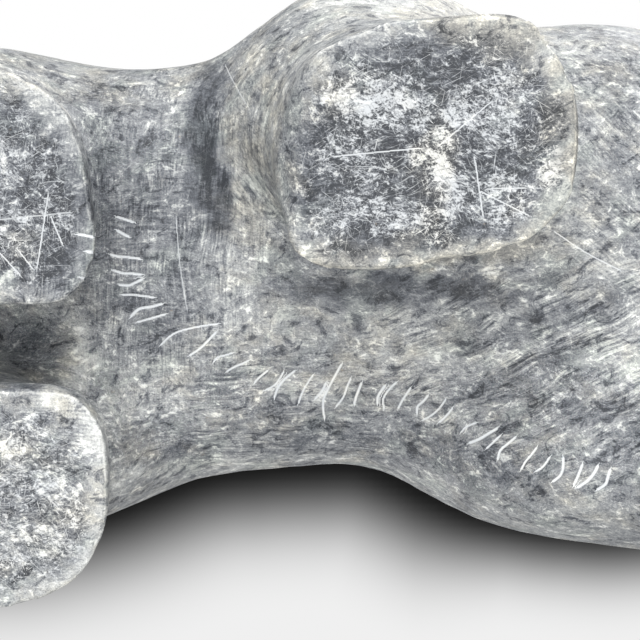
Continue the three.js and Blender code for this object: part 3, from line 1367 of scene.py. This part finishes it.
    def stroke_sides(
        self, piece: bpy.types.Object, strokes: list[tuple[Stroke, np.ndarray]]
    ) -> tuple[np.ndarray, np.ndarray, np.ndarray]:
        """Measures where the skin's points lie beside the strokes.

        Args:
            piece: The bear.
            strokes: The strokes on the skin.

        Returns:
            The distance to the nearest stroke with a sign for its side, the same without a sign, and
            the stroke's number.
        """
        points = read_points(piece.data)
        margin = 2.0
        best = np.full(len(points), 9.0)
        side = best.copy()
        which = np.full(len(points), -1)
        for number, (_, line) in enumerate(strokes):
            lowest, highest = line.min(0) - margin, line.max(0) + margin
            index = np.flatnonzero(((points > lowest) & (points < highest)).all(1))
            for a, b in zip(line, line[1:]):
                off, far = near_line(points[index], a, b)
                nearer = far < best[index]
                chosen = index[nearer]
                best[chosen] = far[nearer]
                turn = (b - a)[0] * off[nearer, 1] - (b - a)[1] * off[nearer, 0]
                side[chosen] = np.where(turn < 0, -1.0, 1.0) * far[nearer]
                which[chosen] = number
        return side, best, which

    def cut_strokes(self, piece: bpy.types.Object, strokes: list[tuple[Stroke, np.ndarray]]) -> None:
        """Works the skin finer along the strokes and sinks them in it.

        Args:
            piece: The bear.
            strokes: The strokes on the skin.
        """
        for reach in (self.groove_reach, self.groove_reach * 0.5):
            best = self.stroke_sides(piece, strokes)[1]
            close = best < reach
            chosen = np.array([any(close[v] for v in f.vertices) for f in piece.data.polygons])
            work_finer(piece, chosen)
        _, best, which = self.stroke_sides(piece, strokes)
        points = read_points(piece.data)
        normals = read_normals(piece.data)
        for number, (stroke, _) in enumerate(strokes):
            index = np.flatnonzero(which == number)
            sink = stroke.depth * climb(best[index], stroke.width * self.groove_fill, 0.0)
            points[index] -= normals[index] * sink[:, None]
        write_points(piece.data, points)

    def write_marks(
        self, piece: bpy.types.Object, rims: list[Rim], strokes: list[tuple[Stroke, np.ndarray]]
    ) -> None:
        """Stores at each point what its colour follows.

        Args:
            piece: The bear.
            rims: The soles' outlines.
            strokes: The strokes on the skin.
        """
        points = read_points(piece.data)
        self.mark_rims(piece, points, rims)
        self.mark_patches(piece, points)
        side, best, which = self.stroke_sides(piece, strokes)
        white = np.array([stroke.white for stroke, _ in strokes] + [0.0])
        width = np.array([stroke.width for stroke, _ in strokes] + [1.0])
        store(piece, "stroke_side", np.clip(side / width[which], -6.0, 6.0))
        store(piece, "stroke_near", climb(best, 0.75, 0.0))
        store(piece, "stroke_white", white[which])

    @staticmethod
    def mark_rims(piece: bpy.types.Object, points: np.ndarray, rims: list[Rim]) -> None:
        """Stores how far inside a rim each point of a sole is, or how far below it on the wall.

        Args:
            piece: The bear.
            points: Its points.
            rims: The soles' outlines.
        """
        deep = 6.0
        mark = np.full(len(points), -deep)
        low = np.flatnonzero(points[:, 2] < deep)
        z = points[low, 2]
        rolled = together(ROLLS, points[:, 0], points[:, 1])
        for rim in rims:
            far, _ = rim.reach(points[low, :2])
            flat = (z < SKIN_LEVEL) | (rolled[low] > 0.05) & (far < -0.5)
            inward = np.where(flat, -far, -z)
            close = far < 1.5
            mark[low[close]] = np.maximum(mark[low[close]], inward[close])
        store(piece, "rim", mark)
        store(piece, "keen", 1.0 - rolled)

    def mark_patches(self, piece: bpy.types.Object, points: np.ndarray) -> None:
        """Stores the tones with their painted shadow and glare, the scuffs and the filing, whose patches
        have wavering edges.

        Args:
            piece: The bear.
            points: Its points.
        """
        wobble = self.wobble_reach * np.array([noise.noise(Vector(p) / self.wobble_size) for p in points])
        x, y = points[:, 0] + wobble, points[:, 1] - wobble
        below = climb(-read_normals(piece.data)[:, 2], -0.3, 0.2)
        # The tones carry painted shadow and a painted glare besides the stone's own tone.
        for name, patches in (("tone_and_painted_light", TONE_AND_PAINTED_LIGHT_PATCHES), ("warmth", WARMTHS), ("scuff", SCUFFS)):
            store(piece, name, together(patches, x, y) * below)
        for hand, patches in HANDS.items():
            store(piece, hand.value, np.clip(HAND_BASE[hand] + together(patches, x, y) * below, 0.0, 2.0))
        calm = together(CALMS, points[:, 0], points[:, 1]) * below
        above = climb(points[:, 2], self.seen_height - 24.0, self.seen_height)
        ahead = climb(points[:, 0], self.seen_to + 8.0, self.seen_to + 26.0)
        behind = climb(points[:, 0], self.seen_from - 2.0, self.seen_from - 14.0)
        store(piece, "quiet", np.clip(np.maximum.reduce([calm, above, ahead, behind]), 0.0, 1.0))

    @staticmethod
    def keep_in_box(piece: bpy.types.Object) -> None:
        """Keeps the finer skin inside the CAD solid's own box."""
        low, high = (np.array(corner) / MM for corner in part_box("bear"))
        write_points(piece.data, np.clip(read_points(piece.data), low, high))

    def dress(self, piece: bpy.types.Object) -> None:
        """Gives the bear its stone and puts it in the CAD solid's place.

        Args:
            piece: The bear.
        """
        piece.data.materials.clear()
        piece.data.materials.append(self.finish.build())
        piece.data.polygons.foreach_set("use_smooth", np.ones(len(piece.data.polygons), bool))
        piece.data.update()
        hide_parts("bear")
        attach(piece, "root")
        count = sum(len(f.vertices) - 2 for f in piece.data.polygons)
        log.info("%s has %d triangles", piece.name, count)


# The studio.


@dataclass(frozen=True)
class Lamp:
    """A soft square light, in metres and watts."""

    name: str
    at: Spot
    side: float
    power: float

    def hang(self, aim: Vector) -> None:
        """Hangs the light.

        Args:
            aim: What it points at.
        """
        data = bpy.data.lights.new(self.name, "AREA")
        data.shape = "SQUARE"
        data.size = self.side
        data.energy = self.power
        made = bpy.data.objects.new(self.name, data)
        bpy.context.scene.collection.objects.link(made)
        made.location = self.at
        made.rotation_euler = (aim - made.location).to_track_quat("-Z", "Y").to_euler()


LAMPS = (
    Lamp("key_below", (-0.05, -0.58, -0.34), 0.6, 5.9),
    Lamp("fill_below", (-0.05, 0.12, -0.75), 0.6, 4.2),
    Lamp("key_above", (0.45, -0.55, 0.75), 0.6, 6.0),
    Lamp("fill_above", (-0.6, 0.45, 0.55), 0.7, 3.0),
)


@dataclass
class Studio:
    """The floor, the surface behind the bear, the lights and the camera, in metres."""

    lens: float = 89.6
    camera_at: Spot = (-0.01678, -0.0372, -0.2159)
    camera_tilt: float = 10.0
    aim: Spot = (0.0, 0.0, 0.05)
    floor_half: float = 1.2
    floor_gap: float = 0.0001
    table_half: float = 0.07
    table_middle: float = -0.015
    table_height: float = 0.048
    table_edge: float = 0.012
    table_cuts: int = 139
    shadow_reach: float = 0.0139
    shadow_reach_ahead: float = 0.0107
    shadow_turn: float = 0.015
    shadow_fall: float = 2.3
    shadow_least: float = 0.012
    surroundings: float = 0.62

    def build(self) -> None:
        """Sets up the studio."""
        self.set_floor()
        self.set_table()
        self.set_lights()
        self.set_camera()
        log.info("the studio has %d lights", len(LAMPS))

    def plane(self, name: str, half: float, at: Vector, turn: float, finish: Plain) -> bpy.types.Object:
        """Adds a square of the stage that throws no shadow on the bear.

        Args:
            name: What it is called.
            half: Half its side.
            at: Its middle.
            turn: How far it is turned about X, in degrees.
            finish: Its surface.

        Returns:
            The square.
        """
        bpy.ops.object.select_all(action="DESELECT")
        bpy.ops.mesh.primitive_plane_add(
            size=2 * half, location=at, rotation=(math.radians(turn), 0.0, 0.0)
        )
        made = bpy.context.active_object
        made.name = name
        made.data.materials.append(finish.build())
        made.visible_shadow = False
        made.visible_diffuse = False
        made.visible_glossy = False
        return made

    def set_floor(self) -> None:
        """Lays the pale floor that the soles stand on, seen from above alone."""
        finish = Plain("pale_floor", (0.80, 0.80, 0.79), clear_from=0.45, clear_to=1.05)
        self.plane("floor", self.floor_half, Vector((0, 0, -self.floor_gap)), 0.0, finish)

    def set_table(self) -> None:
        """Puts the pale surface behind the left flank, seen from below alone, glowing, with a painted
        shadow that darkens it near the stone.
        """
        finish = Plain("pale_table_painted_shadow", (0.87, 0.87, 0.87), clear_from=0.14, clear_to=0.16, painted_shadow=True)
        middle = Vector((self.table_middle, self.table_edge + self.table_half, self.table_height))
        table = self.plane("table", self.table_half, middle, 180.0, finish)
        open_for_editing(table)
        bpy.ops.mesh.select_all(action="SELECT")
        bpy.ops.mesh.subdivide(number_cuts=self.table_cuts)
        close_editing()
        shape = bmesh.new()
        shape.from_mesh(bpy.data.objects["bear_stone"].data)
        stone = BVHTree.FromBMesh(shape)
        shape.free()
        places = [table.matrix_world @ v.co for v in table.data.vertices]
        far = np.array([stone.find_nearest(place)[3] for place in places])
        ahead = climb(np.array([place.x for place in places]), 0.0, self.shadow_turn)
        reach = self.shadow_reach + (self.shadow_reach_ahead - self.shadow_reach) * ahead
        # Painted shadow: the table's lit share grows with its distance from the stone.
        light = 1.0 - np.exp(-((far / reach) ** self.shadow_fall))
        store(table, "painted_lit_share", self.shadow_least + light)

    def set_lights(self) -> None:
        """Hangs the lights and sets the pale surroundings."""
        for lamp in LAMPS:
            lamp.hang(Vector(self.aim))
        world = bpy.data.worlds.new("surroundings")
        world.use_nodes = True
        tree = world.node_tree
        backdrop = tree.nodes["Background"]
        backdrop.inputs["Color"].default_value = (1.0, 1.0, 1.0, 1.0)
        seen = tree.nodes.new("ShaderNodeLightPath")
        level = tree.nodes.new("ShaderNodeMapRange")
        level.inputs["To Min"].default_value = self.surroundings
        tree.links.new(seen.outputs["Is Camera Ray"], level.inputs["Value"])
        tree.links.new(level.outputs["Result"], backdrop.inputs["Strength"])
        bpy.context.scene.world = world
        bpy.context.scene.view_settings.view_transform = "Standard"

    def set_camera(self) -> None:
        """Sets the camera below the bear, looking up at its soles."""
        data = bpy.data.cameras.new("camera")
        data.lens = self.lens
        data.sensor_width = 36.0
        data.clip_start = 0.01
        data.clip_end = 20.0
        camera = bpy.data.objects.new("camera", data)
        bpy.context.scene.collection.objects.link(camera)
        tilt = math.radians(self.camera_tilt)
        ahead = Vector((0.0, math.sin(tilt), math.cos(tilt)))
        up = Vector((0.0, -math.cos(tilt), math.sin(tilt)))
        turn = Matrix((ahead.cross(up), up, -ahead)).transposed().to_4x4()
        camera.matrix_world = Matrix.Translation(Vector(self.camera_at)) @ turn
        bpy.context.scene.camera = camera


def main() -> None:
    """Builds the bear, kept inside the CAD solid's box, and the studio."""
    logging.basicConfig(level=logging.INFO, format="%(message)s")
    Carving().build()
    Studio().build()


if __name__ == "__main__":
    main()
